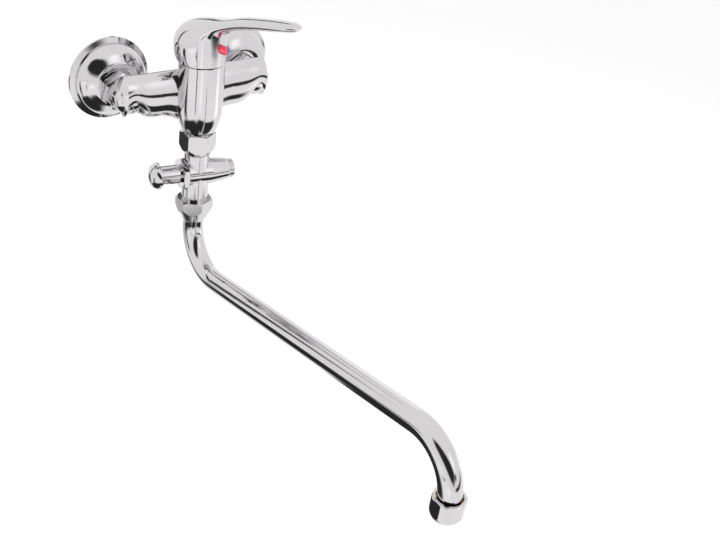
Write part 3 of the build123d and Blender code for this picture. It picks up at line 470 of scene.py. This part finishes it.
def board(name, size, grey, soft):
    """Soft-edged board that only reflections see."""
    piece = flat_square(name, 1, soft_grey(name, grey, soft))
    piece.scale = (size[0] / 2, size[1] / 2, 1)
    piece.visible_camera = False
    piece.visible_diffuse = False
    piece.visible_shadow = False
    piece.visible_transmission = False
    return piece


def wall_board(name, azimuth, elevation, size, roll, grey, soft):
    """Board that stands round the tap and faces it."""
    piece = board(name, size, grey, soft)
    piece.location = around(azimuth, elevation, WALL_DISTANCE, MIDDLE)
    facing = (Vector(MIDDLE) - piece.location).normalized()
    side = Vector((0, 0, 1)).cross(facing).normalized()
    up = facing.cross(side)
    turn = Matrix.Rotation(math.radians(roll), 3, facing)
    axes = Matrix((turn @ side, turn @ up, facing)).transposed()
    piece.rotation_euler = axes.to_euler()


def floor_board(name, azimuth, reach, size, grey, soft, height):
    """Board that lies on the floor, square to the way out from the tap."""
    piece = board(name, size, grey, soft)
    spot = around(azimuth, 0, reach, MIDDLE)
    piece.location = (spot.x, spot.y, height)
    piece.rotation_euler = (0, 0, math.radians(azimuth))


def seen_factor(tree):
    """1 for camera, glossy and transmission rays."""
    path = tree.nodes.new("ShaderNodeLightPath")
    both = math_node(tree, "ADD", path.outputs["Is Camera Ray"], path.outputs["Is Glossy Ray"])
    return math_node(tree, "ADD", both, path.outputs["Is Transmission Ray"])


def make_floor(height):
    """Pale floor that keeps the shadow near the tap and turns white far out."""
    material = bpy.data.materials.new("floor")
    tree, surface = empty_tree(material, "ShaderNodeOutputMaterial")
    diffuse = tree.nodes.new("ShaderNodeBsdfDiffuse")
    diffuse.inputs["Color"].default_value = (FLOOR_GREY, FLOOR_GREY, FLOOR_GREY, 1)
    place = tree.nodes.new("ShaderNodeTexCoord")
    away = tree.nodes.new("ShaderNodeVectorMath")
    away.operation = "LENGTH"
    tree.links.new(place.outputs["Object"], away.inputs[0])
    glowing = remap(tree, away.outputs["Value"], *FLOOR_FADE, *FLOOR_GLOW)
    factor = math_node(tree, "MULTIPLY", seen_factor(tree), glowing)
    glow = white_light(tree, "ShaderNodeEmission", 1.0)
    mix_to(tree, surface, factor, diffuse.outputs["BSDF"], glow)
    floor = flat_square("floor", FLOOR_SIZE / 2, material)
    floor.location = (0, 0, height)


def make_world():
    world = bpy.data.worlds.new("studio")
    tree, surface = empty_tree(world, "ShaderNodeOutputWorld")
    ambient = white_light(tree, "ShaderNodeBackground", ROOM_AMBIENT)
    white = white_light(tree, "ShaderNodeBackground", ROOM_WHITE)
    mix_to(tree, surface, seen_factor(tree), ambient, white)
    bpy.context.scene.world = world


def softbox(name, place, target, size, power):
    """Area lamp that reflections don't see."""
    light = bpy.data.lights.new(name, "AREA")
    light.shape = "RECTANGLE"
    light.size, light.size_y = size
    light.energy = power
    lamp = bpy.data.objects.new(name, light)
    lamp.location = place
    lamp.visible_glossy = False
    facing = Vector(target) - Vector(place)
    lamp.rotation_euler = facing.to_track_quat("-Z", "Y").to_euler()
    bpy.context.scene.collection.objects.link(lamp)


def make_studio(centre, low):
    floor_height = low - FLOOR_GAP
    make_floor(floor_height)
    make_world()
    for name, azimuth, elevation, distance, size, power in LAMPS:
        softbox(name, around(azimuth, elevation, distance, centre), centre, size, power)
    for row in WALL_BOARDS:
        wall_board(*row)
    for step, row in enumerate(FLOOR_BOARDS, 1):
        floor_board(*row, floor_height + BOARD_LIFT * step)


def make_camera():
    data = bpy.data.cameras.new("camera")
    data.sensor_width = CAMERA_SENSOR_MM
    data.lens = CAMERA_LENS_MM
    camera = bpy.data.objects.new("camera", data)
    axes = Matrix((CAMERA_RIGHT, CAMERA_UP, CAMERA_BACK)).transposed().to_4x4()
    camera.matrix_world = Matrix.Translation(CAMERA_PLACE) @ axes
    bpy.context.scene.collection.objects.link(camera)
    bpy.context.scene.camera = camera


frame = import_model()
cad_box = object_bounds()
dress_frame(frame)
add_threads()
add_wires()
box_low, box_high = Vector(cad_box[0]), Vector(cad_box[1])
make_studio((box_low + box_high) / 2, box_low.z)
make_camera()
bpy.context.scene.view_settings.view_transform = "Standard"
